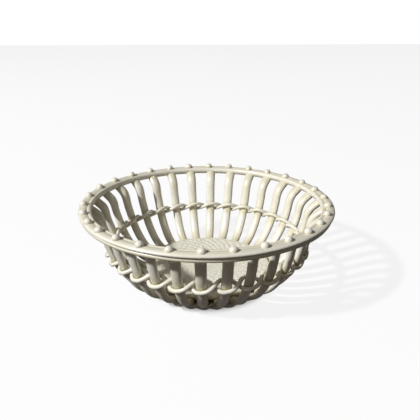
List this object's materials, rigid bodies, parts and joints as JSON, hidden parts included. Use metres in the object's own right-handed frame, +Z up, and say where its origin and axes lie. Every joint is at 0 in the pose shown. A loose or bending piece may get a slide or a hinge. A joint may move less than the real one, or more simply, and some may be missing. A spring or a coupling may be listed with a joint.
{
  "type": "openwork basket",
  "caption": "Round openwork basket of cream-glazed faience for fruit or bread, with bowed rods, woven strands, a flat floor, a pearled rim and a rope-twist foot.",
  "frame": {"origin": "centre of the foot ring, on the surface the basket stands on", "axes": "+Z up along the basket's axis; the first rib and pearl stand over +X; the picture looks roughly along +Y"},
  "size_m": [0.26, 0.2599, 0.0967],
  "materials": {
    "rim_glaze": "clear lead glaze over cream earthenware, glossy, slightly pooled in the joints",
    "rib_glaze": "clear lead glaze over cream earthenware, glossy, slightly pooled in the joints",
    "twine_glaze": "clear lead glaze over cream earthenware, glossy, slightly pooled in the joints",
    "floor_glaze": "clear lead glaze over cream earthenware, glossy, slightly pooled in the joints",
    "foot_glaze": "clear lead glaze over cream earthenware, glossy, slightly pooled in the joints"
  },
  "bodies": {
    "root": {"rim": "rim_glaze", "rim_pearls": "rim_glaze", "floor_plate": "floor_glaze", "rib_01": "rib_glaze", "rib_02": "rib_glaze", "rib_03": "rib_glaze", "rib_04": "rib_glaze", "rib_05": "rib_glaze", "rib_06": "rib_glaze", "rib_07": "rib_glaze", "rib_08": "rib_glaze", "rib_09": "rib_glaze", "rib_10": "rib_glaze", "rib_11": "rib_glaze", "rib_12": "rib_glaze", "rib_13": "rib_glaze", "rib_14": "rib_glaze", "rib_15": "rib_glaze", "rib_16": "rib_glaze", "rib_17": "rib_glaze", "rib_18": "rib_glaze", "rib_19": "rib_glaze", "rib_20": "rib_glaze", "rib_21": "rib_glaze", "rib_22": "rib_glaze", "rib_23": "rib_glaze", "rib_24": "rib_glaze", "rib_25": "rib_glaze", "rib_26": "rib_glaze", "rib_27": "rib_glaze", "rib_28": "rib_glaze", "rib_29": "rib_glaze", "rib_30": "rib_glaze", "twine_strand_a": "twine_glaze", "twine_strand_b": "twine_glaze", "foot_strand_a": "foot_glaze", "foot_strand_b": "foot_glaze"}
  },
  "joints": []
}
